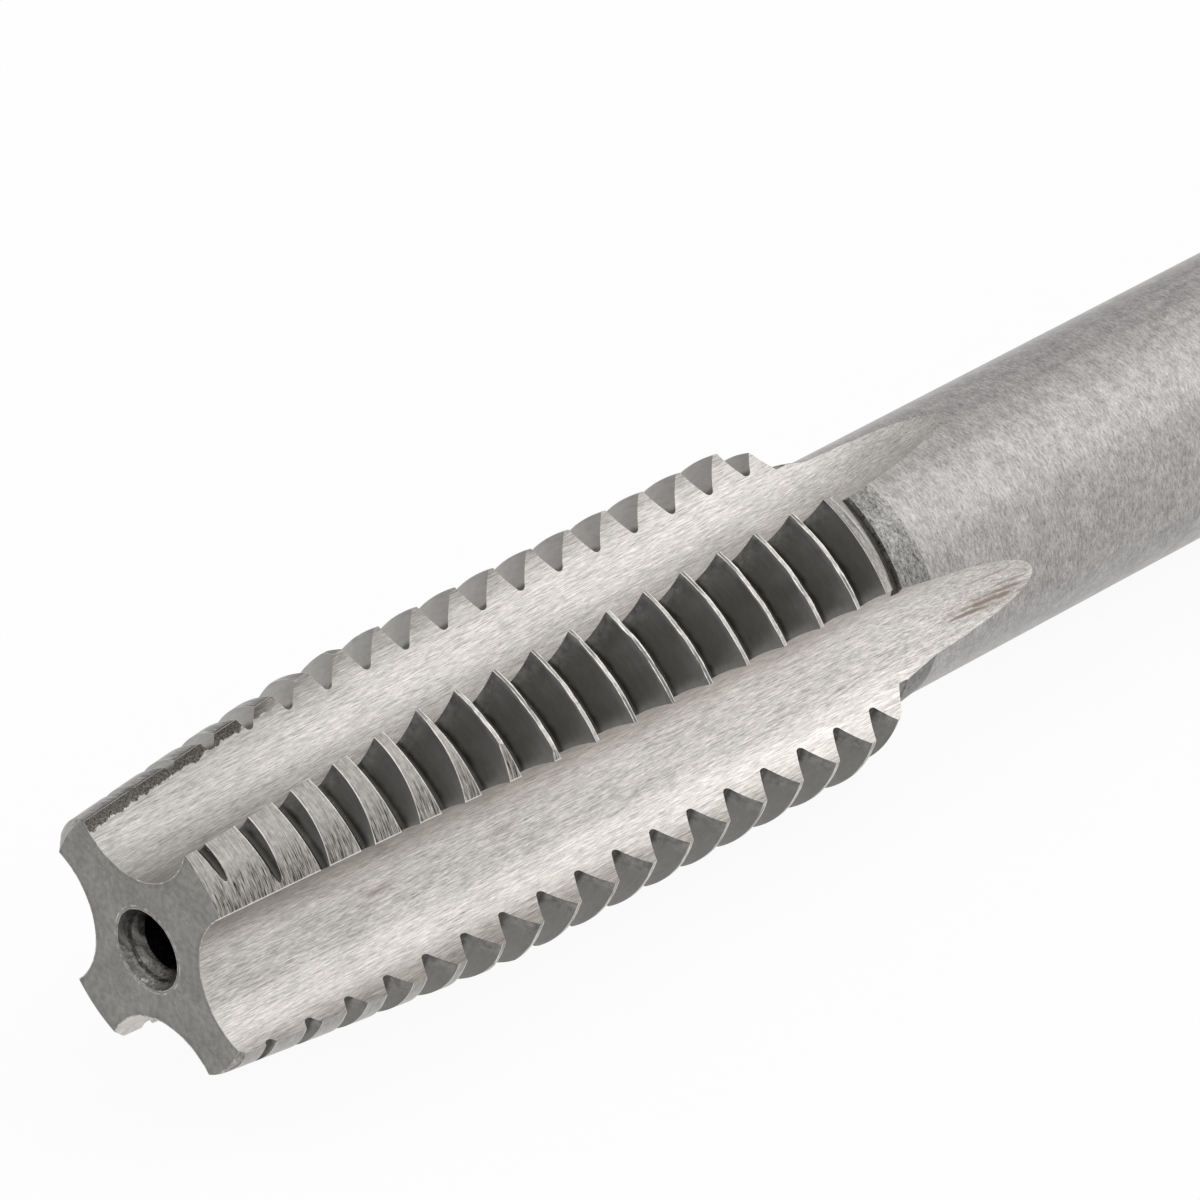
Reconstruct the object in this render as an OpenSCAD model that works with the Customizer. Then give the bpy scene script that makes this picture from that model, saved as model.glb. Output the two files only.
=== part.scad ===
// Hand thread tap, taper pattern, for an M12 x 1.75 thread: one solid of hardened steel.
// The tap lies on a flat surface as it comes to rest: two lands and the rear of the shank touch it.
// Built along its own axis first, tip at X = 0 and shank towards +X, then laid down.
// Turns about the axis are clockwise seen from the tip, and 0 is straight up.

/* [Thread] */
// Major diameter over the cutting edges
thread_d = 12.1; // [11.5:0.1:12.7]
// Distance from one crest to the next
pitch = 1.75; // [1.25:0.05:2]
// Distance from the tip to the end of the full thread
thread_l = 29.3; // [24:0.1:36]
// Width of the flat on each crest
crest_flat = 0.2; // [0.1:0.01:0.3]
// Width of the flat at each root
root_flat = 0.3; // [0.15:0.01:0.4]
// Distance from the tip to the first crest along the top line
crest_start = 1.45; // [0.8:0.01:1.7]

/* [Lead] */
// Diameter over the cutting edges at the tip
tip_d = 9.94; // [9:0.02:10.6]
// Angle of the lead cone against the axis
lead_angle = 6; // [4:0.1:9]
// Chamfer at the rim of the tip
tip_chamfer = 0.2; // [0.05:0.05:0.3]
// How far the relief cone of a land is set off the axis, towards its cutting edge
relief_offset = 1.8; // [0.5:0.1:2.2]

/* [Flutes] */
// Radius of the round flute section
flute_r = 2.8; // [2.3:0.05:2.9]
// Diameter of the core between the flutes at the tip
core_d = 5.24; // [4.6:0.02:6.2]
// Angle at which the core rises towards the shank
core_taper = 2; // [0:0.1:2.2]
// Radius of the scoop in which a flute runs out into the shank
runout_r = 54; // [25:1:70]

/* [Shank] */
// Overall length
total_l = 89; // [80:1:110]
// Diameter of the shank
shank_d = 9; // [8.4:0.1:9.4]
// Diameter of the neck at its front, behind the thread
neck_d = 9.4; // [9.3:0.05:9.8]
// How far the neck's radius falls from its front to its rear
neck_fall = 0.15; // [0.05:0.01:0.15]
// Distance from the end of the full thread to the rear of the neck
neck_l = 3.3; // [2.8:0.1:5]
// Length over which the last thread fades before the shoulder
fade_l = 1; // [0.6:0.05:1.1]
// Radius of the shoulder where the lands end
shoulder_r = 0.6; // [0.3:0.05:0.8]
// How far the lands on one side end past the middle, and on the other side short of it
end_lean = 0.5; // [0:0.05:0.6]
// Width of the driving square across its flats
square_w = 7.1; // [6:0.1:7.6]
// Length of the driving square
square_l = 10; // [7:0.5:14]
// Chamfer on the square's corners at the rear end
end_chamfer = 0.8; // [0.2:0.1:1.2]

/* [Centre holes] */
// Diameter of the 60 degree cone at its mouth
centre_mouth_d = 2.9; // [2.4:0.1:3.3]
// Diameter of the pilot hole
centre_pilot_d = 2; // [1.2:0.1:2.3]
// Depth of the pilot hole from the end face
centre_depth = 4; // [3:0.1:6]

/* [Hidden] */
$fn = 48;

// Clearance by which a cutter passes the surface that it leaves
over = 1;
flute_count = 4;

thread_r = thread_d / 2;
flank_angle = 30;
thread_depth = (pitch - crest_flat - root_flat) / 2 / tan(flank_angle);
root_r = thread_r - thread_depth;
lead_slope = tan(lead_angle);
land_step = 360 / flute_count;

// The flute is a round channel whose axis rises with the core.
// Its half width at the thread's major radius, for a channel axis at radius c.
function half_width(c) = acos((thread_r * thread_r + c * c - flute_r * flute_r) / (2 * thread_r * c));
channel_front = core_d / 2 + flute_r;
channel_back = channel_front + thread_l * tan(core_taper);
half_front = half_width(channel_front);
half_back = half_width(channel_back);
// The channel is centred on the top line at the thread's end, and set over at the tip so that
// the cutting edge stays straight along the axis.
cut_edge = half_back;
front_turn = cut_edge - half_front;
// The channel axis from the tip to the run-out, in the frame of the channel's front end.
rise = channel_back * cos(front_turn) - channel_front;
set_over = channel_back * sin(front_turn);
rise_angle = atan(rise / thread_l);
set_angle = atan(set_over / norm([thread_l, rise]));
channel_l = norm([thread_l, rise, set_over]);

land_width = land_step - 2 * half_back;
land_mid = cut_edge + land_width / 2;
lead_angle_thread = atan(pitch / (PI * (thread_r + root_r)));
// A ring cutter reaches past both edges of its land.
ring_span = land_step - half_front;

// The last thread fades at a gentle slope, and the shoulder then drops steeply to the neck.
fade_angle = 20;
shoulder_angle = 60;
// The shoulder's arc in steps, and the side on which the lands end last.
shoulder_steps = 4;
lean_turn = 270;
neck_r = neck_d / 2;
neck_step = 0.15;
neck_end = thread_l + neck_l;
shank_r = shank_d / 2;

// How the tap lies: the bottom flute's two lands carry the thread, the shank's last round part the rear.
land_drop = thread_r * cos(half_back);
shank_l = total_l - square_l;
rest_pitch = atan((land_drop - shank_r) / (shank_l - thread_l));
rest_height = land_drop * cos(rest_pitch) + thread_l * sin(rest_pitch);

// Turns a shape about the tap's axis, clockwise seen from the tip.
module turned(angle) {
    rotate([angle, 0, 0]) children();
}

// Spins an outline of [distance from the tip, radius] points round the tap's axis.
module spun(outline) {
    rotate([0, 90, 0]) rotate_extrude() polygon([for (p = outline) [p[1], p[0]]]);
}

// The quarter of the space that holds the first land.
module land_sector(from, to) {
    reach = 2 * (thread_r + over);
    rotate([90, 0, 90]) translate([0, 0, from]) linear_extrude(to - from)
        polygon([for (turn = [0, land_step / 2, land_step]) [-reach * sin(turn), reach * cos(turn)], [0, 0]]);
}

// The turned blank: thread cylinder with its rim chamfer, neck and shank.
module blank() {
    rim_r = tip_d / 2 - tip_chamfer;
    spun([[0, 0],
          [0, rim_r],
          [thread_r - rim_r, thread_r],
          [thread_l - end_lean, thread_r],
          [thread_l - end_lean, neck_r],
          [neck_end - neck_step, neck_r - neck_fall],
          [neck_end, shank_r],
          [total_l, shank_r],
          [total_l, 0]]);
}

// The end of one land: it fades, turns over the shoulder's arc and drops to the neck.
module land_end(land) {
    root = thread_l - end_lean - pitch;
    end = thread_l + end_lean * cos(land_mid + land * land_step - lean_turn);
    arc = [for (i = [0 : shoulder_steps])
        let (slope = fade_angle + (shoulder_angle - fade_angle) * i / shoulder_steps)
        [end + fade_l + shoulder_r * (sin(slope) - sin(fade_angle)),
         thread_r - fade_l * tan(fade_angle) + shoulder_r * (cos(slope) - cos(fade_angle))]];
    last = arc[shoulder_steps];
    foot_r = neck_r - neck_fall;
    foot = last[0] + (last[1] - foot_r) / tan(shoulder_angle);
    turned(land * land_step) intersection() {
        land_sector(root - over, foot + over);
        spun(concat([[root, 0], [root, thread_r], [end, thread_r]], arc, [[foot, foot_r], [foot, 0]]));
    }
}

// The lead of one land: all that stands out of a cone set off the axis is taken away, so the land
// falls back from its cutting edge to its heel.
module lead_relief() {
    cone_front = tip_d / 2 - relief_offset;
    cone_back = norm([thread_r - relief_offset * cos(land_width), relief_offset * sin(land_width)]);
    relief_l = (cone_back - cone_front) / lead_slope + over;
    difference() {
        land_sector(-over, relief_l);
        turned(cut_edge) translate([-2 * over, 0, relief_offset]) rotate([0, 90, 0])
            cylinder(h = relief_l + 3 * over,
                     r1 = cone_front - 2 * over * lead_slope,
                     r2 = cone_front + (relief_l + over) * lead_slope);
    }
}

// One thread groove over one land: a ring of the thread's section, leaning by the helix angle.
module groove(distance) {
    out = over * tan(flank_angle);
    half_root = root_flat / 2;
    half_top = (pitch - crest_flat) / 2;
    translate([distance, 0, 0]) rotate([0, 0, lead_angle_thread]) rotate([0, 90, 0])
        rotate([0, 0, 180 - ring_span / 2]) rotate_extrude(angle = ring_span)
            polygon([[root_r, -half_root],
                     [thread_r + over, -half_top - out],
                     [thread_r + over, half_top + out],
                     [root_r, half_root]]);
}

// The grooves of one land. Each land's rings stand a part of the pitch further on than the last
// land's, which makes a right-hand thread.
module land_grooves(land) {
    turn = land_mid + land * land_step;
    first = crest_start - pitch / 2 + pitch * turn / 360;
    start = first - pitch * floor((first - pitch / 4) / pitch);
    turned(turn)
        for (distance = [start : pitch : thread_l + fade_l]) groove(distance);
}

// One flute: a round channel that rises with the core, and runs out along the grinding wheel's arc.
module flute() {
    exit_angle = 16;
    turned(front_turn) translate([0, 0, channel_front]) rotate([0, -rise_angle, 0])
        rotate([0, 0, set_angle]) {
            translate([-over, 0, 0]) rotate([0, 90, 0]) cylinder(h = channel_l + over, r = flute_r);
            translate([channel_l, 0, runout_r - flute_r]) rotate([90, 0, 0]) rotate([0, 0, -90])
                rotate_extrude(angle = exit_angle, $fn = 180) translate([runout_r - flute_r, 0])
                    circle(r = flute_r);
        }
}

// A centre hole that opens towards -X at the origin: 60 degree cone, pilot and drill point.
module centre_hole() {
    mouth_r = centre_mouth_d / 2;
    pilot_r = centre_pilot_d / 2;
    cone_l = (mouth_r - pilot_r) / tan(30);
    out = over * tan(30);
    spun([[-over, 0],
          [-over, mouth_r + out],
          [cone_l, pilot_r],
          [centre_depth, pilot_r],
          [centre_depth + pilot_r / tan(59), 0]]);
}

// The four cuts that leave the driving square.
module square_cuts() {
    for (turn = [0 : 90 : 270])
        turned(turn) translate([shank_l, -shank_d, square_w / 2])
            cube([square_l + over, 2 * shank_d, shank_d]);
}

// The four slanting cuts that chamfer the square's corners at the rear end.
module corner_cuts() {
    for (turn = [45 : 90 : 315])
        turned(turn) translate([total_l, 0, shank_r - end_chamfer]) rotate([0, 45, 0])
            translate([-shank_r, -shank_r, 0]) cube(shank_d);
}

// The finished tap along its own axis.
module tap() {
    color([0.72, 0.71, 0.69])
        difference() {
            union() {
                blank();
                for (land = [0 : flute_count - 1]) land_end(land);
            }
            for (land = [0 : flute_count - 1]) {
                turned(land * land_step) lead_relief();
                land_grooves(land);
                turned(land * land_step) flute();
            }
            centre_hole();
            translate([total_l, 0, 0]) mirror([1, 0, 0]) centre_hole();
            square_cuts();
            corner_cuts();
        }
}

// Lays the tap on the plane Z = 0 with the middle of its length over the origin.
module laid() {
    translate([-total_l / 2 * cos(rest_pitch), 0, rest_height]) rotate([0, rest_pitch, 0]) children();
}

laid() tap();
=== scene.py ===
"""Hand thread tap: the tap that shows, its ground and machined finishes, and the plain stage it lies on.

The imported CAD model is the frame. The tap is modelled along its own axis in millimetres, with the tip at
X = 0 and the shank towards +X, and is then laid on the floor where the CAD solid lies.
Turns about the axis are clockwise seen from the tip, and 0 is straight up.
"""

import math
from types import SimpleNamespace

import bmesh
import bpy
from mathutils import Matrix, Vector, noise


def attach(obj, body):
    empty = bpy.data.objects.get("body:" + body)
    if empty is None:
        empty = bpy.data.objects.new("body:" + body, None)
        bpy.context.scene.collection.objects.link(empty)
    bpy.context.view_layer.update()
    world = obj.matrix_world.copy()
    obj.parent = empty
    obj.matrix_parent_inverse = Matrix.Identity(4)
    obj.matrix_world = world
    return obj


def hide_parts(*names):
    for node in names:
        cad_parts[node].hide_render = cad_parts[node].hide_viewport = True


bl_info = {
    "name": "Hand Thread Tap",
    "version": (1, 0, 0),
    "blender": (4, 5, 0),
    "location": "3D View > Sidebar > Thread Tap",
    "description": "Builds a hand thread tap with ground finishes, and the stage it lies on",
    "category": "Add Mesh",
}

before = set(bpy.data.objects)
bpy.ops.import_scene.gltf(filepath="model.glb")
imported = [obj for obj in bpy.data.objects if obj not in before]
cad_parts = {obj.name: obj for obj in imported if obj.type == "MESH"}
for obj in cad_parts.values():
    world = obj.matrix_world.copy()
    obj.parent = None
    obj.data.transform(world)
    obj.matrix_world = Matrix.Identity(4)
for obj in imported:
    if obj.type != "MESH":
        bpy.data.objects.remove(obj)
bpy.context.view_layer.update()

MM = 0.001
LANDS = 4
QUARTER = math.pi / 2
# The turn of the land that faces up and towards the camera.
MIDDLE_LAND = QUARTER / 2
# Vertices of a cutter that are nearer than this, in millimetres, are one.
SAME = 1e-4
# The reach, in millimetres, within which a ring of the blank is found and slivers of the tap are merged.
NEAR = 1e-3


def shade(red, green, blue):
    """A colour as a screen shows it, 0 to 255, as the linear colour that a shader takes."""
    return tuple(
        (v / 255 / 12.92) if v <= 10 else ((v / 255 + 0.055) / 1.055) ** 2.4 for v in (red, green, blue)
    )


def length(name, description, millimetres):
    """A length property that is given in millimetres and kept in metres."""
    return bpy.props.FloatProperty(
        name=name, description=description, default=millimetres * MM, min=0, precision=5, unit="LENGTH"
    )


def angle(name, description, degrees):
    """An angle property that is given in degrees and kept in radians."""
    return bpy.props.FloatProperty(
        name=name, description=description, default=math.radians(degrees), subtype="ANGLE"
    )


def tint(name, description, *levels):
    """A colour property that is given as a screen shows it."""
    return bpy.props.FloatVectorProperty(
        name=name, description=description, default=shade(*levels), size=3, min=0, max=1, subtype="COLOR"
    )


class TapSizes(bpy.types.PropertyGroup):
    """The sizes of the tap: the CAD source's, and at the end two that only this model has."""

    thread_d: length("Thread diameter", "Major diameter over the cutting edges", 12.1)
    pitch: length("Pitch", "Distance from one crest to the next", 1.75)
    thread_l: length("Thread length", "Distance from the tip to the end of the full thread", 29.3)
    crest_flat: length("Crest flat", "Width of the flat on each crest", 0.2)
    root_flat: length("Root flat", "Width of the flat at each root", 0.3)
    crest_start: length("First crest", "Distance from the tip to the first crest along the top line", 1.45)
    flank_angle: angle("Flank angle", "Angle of a thread flank against the square to the axis", 30)
    tip_d: length("Tip diameter", "Diameter over the cutting edges at the tip", 9.94)
    lead_angle: angle("Lead angle", "Angle of the lead cone against the axis", 6)
    tip_chamfer: length("Tip chamfer", "Chamfer at the rim of the tip", 0.2)
    relief_offset: length("Relief offset", "How far a land's relief cone is set off the axis", 1.8)
    flute_r: length("Flute radius", "Radius of the round flute section", 2.8)
    core_d: length("Core diameter", "Diameter of the core between the flutes at the tip", 5.24)
    core_taper: angle("Core taper", "Angle at which the core rises towards the shank", 2)
    runout_r: length("Run-out radius", "Radius of the scoop in which a flute ends", 54)
    runout_turn: angle("Run-out turn", "Arc over which the flute's scoop is swept", 16)
    total_l: length("Overall length", "Length from the tip to the rear end", 89)
    shank_d: length("Shank diameter", "Diameter of the round shank", 9)
    neck_d: length("Neck diameter", "Diameter of the neck at its front, behind the thread", 9.4)
    neck_fall: length("Neck fall", "How far the neck's radius falls from its front to its rear", 0.15)
    neck_l: length("Neck length", "Distance from the end of the full thread to the rear of the neck", 3.3)
    neck_step: length("Neck step", "Length of the slope from the neck to the shank", 0.15)
    fade_l: length("Fade length", "Length over which the last thread fades", 1)
    fade_angle: angle("Fade angle", "Slope at which the last thread fades", 20)
    shoulder_r: length("Shoulder radius", "Radius of the shoulder where the lands end", 0.6)
    shoulder_angle: angle("Shoulder angle", "Slope of the shoulder down to the neck", 60)
    end_lean: length("End lean", "How far the lands on one side end past the middle", 0.5)
    lean_turn: angle("Lean turn", "The side on which the lands end last", 270)
    square_w: length("Square width", "Width of the driving square across its flats", 7.1)
    square_l: length("Square length", "Length of the driving square", 10)
    end_chamfer: length("End chamfer", "Chamfer on the square's corners at the rear end", 0.8)
    centre_mouth_d: length("Centre mouth", "Diameter of the 60 degree cone at its mouth", 2.9)
    centre_pilot_d: length("Centre pilot", "Diameter of the centre's pilot hole", 2)
    centre_depth: length("Centre depth", "Depth of the pilot hole from the end face", 4)

    relief_off: length("Last relief off", "How much less the last land is ground at its edge", 0.2)
    nick: length("Crest nick", "How far the crests' edges wander from burrs and nicks", 0.028)


class TapFinishes(bpy.types.PropertyGroup):
    """The colours of the tap's finishes, with the colours of its painted highlights and painted shade."""

    face: tint("End face", "Matt ground face at the tip", 137, 135, 132)
    rim: tint("Tip rim", "Chamfer round the tip", 150, 147, 143)
    hole: tint("Centre hole", "Machined wall of the centre hole", 96, 94, 91)
    flute: tint("Flute", "Ground flute", 206, 202, 197)
    crest: tint("Crest", "Ground crest of the thread", 188, 185, 181)
    groove: tint("Crest line", "Dark line along the middle of a crest", 92, 90, 86)
    # Besides burrs, this colour paints the highlights along edges and the glints in the centre hole.
    edge: tint("Edge", "Bright burrs and cutting edges", 226, 224, 219)
    flank: tint("Flank", "Thread flanks", 124, 122, 119)
    # The root colour is painted shade: the dark at the foot of the thread and in the undercut.
    root: tint("Root", "Dark foot of the thread", 72, 70, 67)
    lead: tint("Lead", "Ground relief of the lead's crests", 153, 150, 146)
    lead_dark: tint("Lead scoring", "Scored metal along the lead's heels", 128, 125, 120)
    neck: tint("Neck", "Turned neck behind the thread", 151, 149, 146)
    shank: tint("Shank", "Ground shank", 169, 166, 164)
    stain: tint("Stain", "Brown oil stains", 126, 109, 98)
    soot: tint("Dark stain", "Burnt oil along a heel", 62, 59, 56)


class StageSettings(bpy.types.PropertyGroup):
    """The plain studio in which the tap lies."""

    floor: tint("Floor", "Plain white floor", 250, 250, 250)
    world_high: tint("Light from above", "Colour of the studio's light overhead", 255, 255, 255)
    world_low: tint("Light from the sides", "Colour of the studio's light at the horizon", 205, 204, 205)
    front_dark: bpy.props.FloatProperty(
        name="Dark front",
        description="Share of light that is missing at the studio's front",
        default=0.5,
        min=0,
        max=1,
        subtype="FACTOR",
    )
    key_power: bpy.props.FloatProperty(
        name="Key lamp", description="Power of the soft lamp above the tap", default=1.42, min=0, unit="POWER"
    )


class Graph:
    """Short ways to add and link nodes in one node tree."""

    def __init__(self, tree):
        self.tree = tree

    def add(self, kind, *values, **settings):
        """A new node with its settings, and with values or links for its sockets in their order."""
        node = self.tree.nodes.new(kind)
        for name, value in settings.items():
            setattr(node, name, value)
        for socket, value in zip(node.inputs, values):
            self.feed(socket, value)
        return node

    def feed(self, socket, value):
        if isinstance(value, bpy.types.NodeSocket):
            self.tree.links.new(value, socket)
        elif value is not None:
            socket.default_value = value

    def math(self, operation, *values):
        return self.add("ShaderNodeMath", *values, operation=operation).outputs[0]

    def times(self, first, *others):
        """All the given numbers multiplied."""
        for other in others:
            first = self.math("MULTIPLY", first, other)
        return first

    def plus(self, first, second):
        return self.math("ADD", first, second)

    def minus(self, first, second):
        return self.math("SUBTRACT", first, second)

    def linear(self, value, factor, start):
        """The value times a factor, plus a start."""
        return self.math("MULTIPLY_ADD", value, factor, start)

    def vector_math(self, operation, *values):
        outputs = self.add("ShaderNodeVectorMath", *values, operation=operation).outputs
        return outputs["Value" if operation in ("LENGTH", "DOT_PRODUCT") else "Vector"]

    def band(self, value, low, high, start=0.0, end=1.0):
        """Goes smoothly from start to end as the value goes from low to high."""
        values = (value, low, high, start, end)
        return self.add("ShaderNodeMapRange", *values, interpolation_type="SMOOTHSTEP").outputs[0]

    def toward(self, turn, middle):
        """Goes from 1 at a turn, given in degrees, to -1 on the far side of the tap."""
        return self.math("COSINE", self.minus(turn, math.radians(middle)))

    def mix(self, share, first, second):
        """Mixes two colours."""
        node = self.add("ShaderNodeMix", data_type="RGBA")
        self.feed(node.inputs["Factor"], share)
        for socket, value in zip(node.inputs[6:8], (first, second)):
            self.feed(socket, (*value, 1) if isinstance(value, tuple) else value)
        return node.outputs[2]

    def scaled(self, colour, level):
        """A colour made lighter or darker by a number."""
        node = self.add("ShaderNodeMix", data_type="RGBA", blend_type="MULTIPLY")
        node.inputs["Factor"].default_value = 1
        self.feed(node.inputs[6], (*colour, 1) if isinstance(colour, tuple) else colour)
        self.feed(node.inputs[7], self.add("ShaderNodeCombineColor", level, level, level).outputs[0])
        return node.outputs[2]

    def vector(self, x, y, z):
        return self.add("ShaderNodeCombineXYZ", x, y, z).outputs[0]

    def noise(self, vector, scale=1.0, detail=2.0, rough=0.5):
        node = self.add("ShaderNodeTexNoise", normalize=True)
        for name, value in (("Vector", vector), ("Scale", scale), ("Detail", detail), ("Roughness", rough)):
            self.feed(node.inputs[name], value)
        return node.outputs["Fac"]

    def group(self, name, **inputs):
        """Places a shared group and gives it its values."""
        node = self.add("ShaderNodeGroup", node_tree=bpy.data.node_groups[name])
        for key, value in inputs.items():
            self.feed(node.inputs[key.replace("_", " ")], value)
        return node.outputs


NUMBER = "NodeSocketFloat"
VECTOR = "NodeSocketVector"


def new_group(name, inputs, outputs):
    """An empty shader node group, with its graph and its inner input and output nodes."""
    tree = bpy.data.node_groups.new(name, "ShaderNodeTree")
    for label, kind, default in inputs:
        socket = tree.interface.new_socket(name=label, in_out="INPUT", socket_type=kind)
        if default is not None:
            socket.default_value = default
    for label, kind in outputs:
        tree.interface.new_socket(name=label, in_out="OUTPUT", socket_type=kind)
    graph = Graph(tree)
    return graph, graph.add("NodeGroupInput").outputs, graph.add("NodeGroupOutput").inputs


def in_mm(sizes, *names):
    """Named sizes of the tap in millimetres."""
    return [getattr(sizes, name) / MM for name in names]


def thread_section(sizes):
    """The section of the thread's groove, in millimetres."""
    pitch, thread_d, root_flat, crest_flat = in_mm(sizes, "pitch", "thread_d", "root_flat", "crest_flat")
    section = SimpleNamespace(pitch=pitch, thread_r=thread_d / 2, half_root=root_flat / 2)
    section.half_top = (pitch - crest_flat) / 2
    section.slope = math.tan(sizes.flank_angle)
    section.root_r = section.thread_r - (section.half_top - section.half_root) / section.slope
    section.start = sizes.crest_start / MM - pitch / 2
    return section


def flute_angles(sizes):
    """Half the turn that a flute takes at the thread's end and at the tip, and its axis radii at both."""
    thread_r = sizes.thread_d / 2
    front = sizes.core_d / 2 + sizes.flute_r
    back = front + sizes.thread_l * math.tan(sizes.core_taper)
    half_back, half_front = (
        math.acos((thread_r**2 + c**2 - sizes.flute_r**2) / (2 * thread_r * c)) for c in (back, front)
    )
    return half_back, half_front, front / MM, back / MM


def flute_line(sizes):
    """The axis of the first flute's channel: its first turn and radius, rise, swing and length."""
    half_back, half_front, front, back = flute_angles(sizes)
    turn = half_back - half_front
    thread_l = sizes.thread_l / MM
    rise = back * math.cos(turn) - front
    aside = back * math.sin(turn)
    rise_angle = math.atan(rise / thread_l)
    set_angle = math.atan(aside / math.hypot(thread_l, rise))
    return turn, front, rise_angle, set_angle, math.hypot(thread_l, rise, aside)


def lay_angle(sizes):
    """The lean at which the tap comes to rest, and the height of its axis at the tip, in millimetres."""
    land_drop = sizes.thread_d / 2 * math.cos(flute_angles(sizes)[0])
    shank_l = sizes.total_l - sizes.square_l
    lean = math.atan((land_drop - sizes.shank_d / 2) / (shank_l - sizes.thread_l))
    height = land_drop * math.cos(lean) + sizes.thread_l * math.sin(lean)
    return lean, height / MM


def lay_matrix(sizes):
    """From the tap's own millimetres to its place in the frame, in metres."""
    lean, height = lay_angle(sizes)
    half = sizes.total_l / MM / 2
    move = Matrix.Translation((-half * math.cos(lean), 0, height))
    return Matrix.Scale(MM, 4) @ move @ Matrix.Rotation(lean, 4, "Y")


def turn_verts(bm, verts, turn, axis):
    """Turns vertices about one of the axes through the middle of the tip."""
    bmesh.ops.rotate(bm, verts=verts, cent=(0, 0, 0), matrix=Matrix.Rotation(turn, 3, axis))


def whole(bm):
    """All that a bmesh holds."""
    return bm.verts[:] + bm.edges[:] + bm.faces[:]


def copied(bm, shape):
    """Duplicates a shape and gives the copy's vertices."""
    made = bmesh.ops.duplicate(bm, geom=shape)["geom"]
    return [v for v in made if isinstance(v, bmesh.types.BMVert)]


def spun(outline, steps, turn=2 * math.pi, slide=0.0):
    """A bmesh of an outline of (distance from the tip, radius) points spun round the tap's axis."""
    bm = bmesh.new()
    verts = [bm.verts.new((s, 0, r)) for s, r in outline]
    edges = [bm.edges.new(pair) for pair in zip(verts, verts[1:])]
    bmesh.ops.spin(
        bm,
        geom=verts + edges,
        cent=(0, 0, 0),
        axis=(1, 0, 0),
        dvec=(slide / steps, 0, 0),
        angle=turn,
        steps=steps,
        use_merge=slide == 0 and turn == 2 * math.pi,
    )
    return bm


def closed(bm):
    """Merges doubles, fills open rims and turns all faces outwards."""
    bmesh.ops.remove_doubles(bm, verts=bm.verts, dist=SAME)
    bmesh.ops.holes_fill(bm, edges=[e for e in bm.edges if e.is_boundary], sides=0)
    bmesh.ops.recalc_face_normals(bm, faces=bm.faces)
    return bm


def quartered(bm, last_off=None):
    """Repeats a shape at each quarter turn round the tap's axis; the last copy may stand off its place."""
    shape = whole(bm)
    for quarter in range(1, LANDS):
        verts = copied(bm, shape)
        turn_verts(bm, verts, quarter * QUARTER, "X")
    if last_off is not None:
        bmesh.ops.translate(bm, verts=verts, vec=last_off)
    return bm


def as_object(bm, name, region=None):
    """Puts a bmesh in an object whose material slots are the tap's regions."""
    if region is not None:
        for face in bm.faces:
            face.material_index = SLOT[region]
    mesh = bpy.data.meshes.new(name)
    bm.to_mesh(mesh)
    bm.free()
    for finish in PAINTERS:
        mesh.materials.append(bpy.data.materials[finish])
    piece = bpy.data.objects.new(name, mesh)
    bpy.context.scene.collection.objects.link(piece)
    return piece


def blank_places(sizes):
    """The radii and the distances from the tip that the turned blank is made of, in millimetres."""
    undercut, undercut_l, burr = 0.2, 0.42, 0.03
    arc_steps = 6
    p = SimpleNamespace()
    p.thread_r, p.neck_r, p.shank_r = (d / 2 for d in in_mm(sizes, "thread_d", "neck_d", "shank_d"))
    p.rim_r = (sizes.tip_d / 2 - sizes.tip_chamfer) / MM
    p.rim_l = p.thread_r - p.rim_r
    p.end, p.total_l, fade_l, shoulder_r = in_mm(sizes, "thread_l", "total_l", "fade_l", "shoulder_r")
    first, last = sizes.fade_angle, sizes.shoulder_angle
    p.arc = []
    for step in range(arc_steps + 1):
        slope = first + (last - first) * step / arc_steps
        distance = p.end + fade_l + shoulder_r * (math.sin(slope) - math.sin(first))
        rise = shoulder_r * (math.cos(slope) - math.cos(first))
        p.arc.append((distance, p.thread_r - fade_l * math.tan(first) + rise))
    p.groove_r = p.neck_r - undercut
    p.skin_r = p.neck_r - burr
    p.foot = p.arc[-1][0] + (p.arc[-1][1] - p.groove_r) / math.tan(last)
    p.burr = p.foot + undercut_l
    p.neck_front = p.burr + 0.1
    p.neck_end = p.end + sizes.neck_l / MM
    p.neck_back = p.neck_end - sizes.neck_step / MM
    return p


def blank_outline(p, neck_fall):
    """The blank's outline: thread with its rim chamfer, shoulder, undercut, burr, neck and shank."""
    outline = [(0, 0), (0, p.rim_r), (p.rim_l, p.thread_r), (p.end, p.thread_r), *p.arc]
    outline += [(p.foot, p.groove_r), (p.burr - 0.06, p.groove_r + 0.02)]
    outline += [(p.burr, p.neck_r), (p.burr + 0.05, p.neck_r - 0.01)]
    rings = 10
    for ring in range(rings + 1):
        share = ring / rings
        outline.append((p.neck_front + (p.neck_back - p.neck_front) * share, p.skin_r - neck_fall * share))
    return outline + [(p.neck_end, p.shank_r), (p.total_l, p.shank_r), (p.total_l, 0)]


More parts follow.
